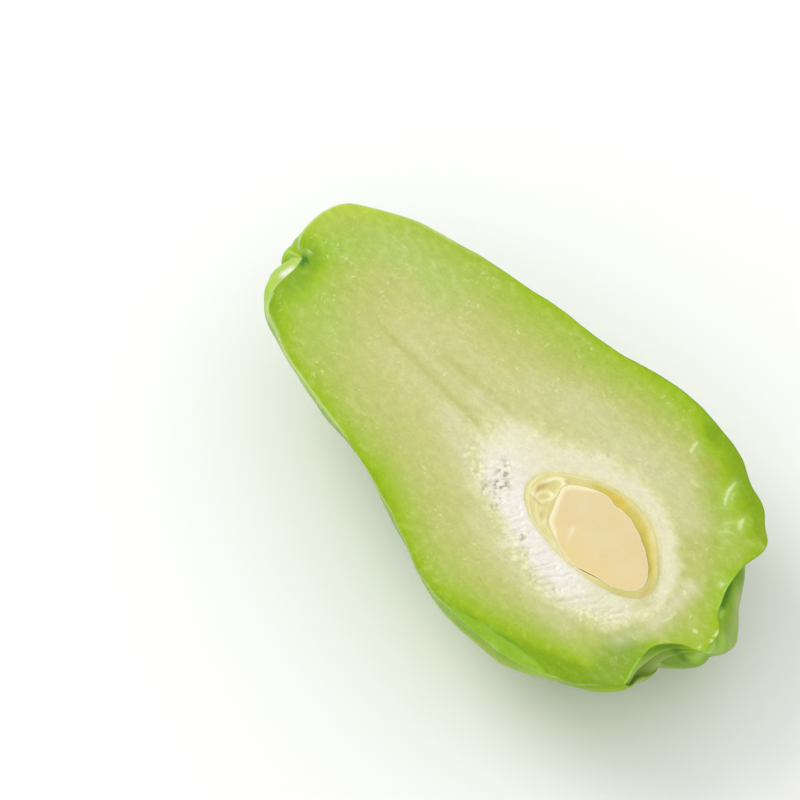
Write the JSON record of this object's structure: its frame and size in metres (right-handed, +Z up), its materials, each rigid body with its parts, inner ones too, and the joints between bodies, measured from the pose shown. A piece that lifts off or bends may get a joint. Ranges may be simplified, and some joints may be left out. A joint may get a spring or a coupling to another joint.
{
  "type": "halved chayote squash",
  "caption": "Chayote squash cut in half lengthways through its flat seed: pear-shaped, folded green skin, pale flesh, lying on its back.",
  "frame": {"origin": "on the table under the middle of the half's box", "axes": "+X from the stem scar to the blossom scar, +Z up out of the cut face, +Y to the fuller side of the cut face"},
  "size_m": [0.1554, 0.0849, 0.0363],
  "materials": {
    "skin_and_flesh": null,
    "seed_coat": "moist yellow membrane; gloss_plastic stands in",
    "seed_kernel": "smooth matt cream; matte_plastic stands in"
  },
  "bodies": {
    "root": {"fruit_half": "skin_and_flesh", "seed_coat": "seed_coat", "seed_kernel": "seed_kernel"}
  },
  "joints": []
}
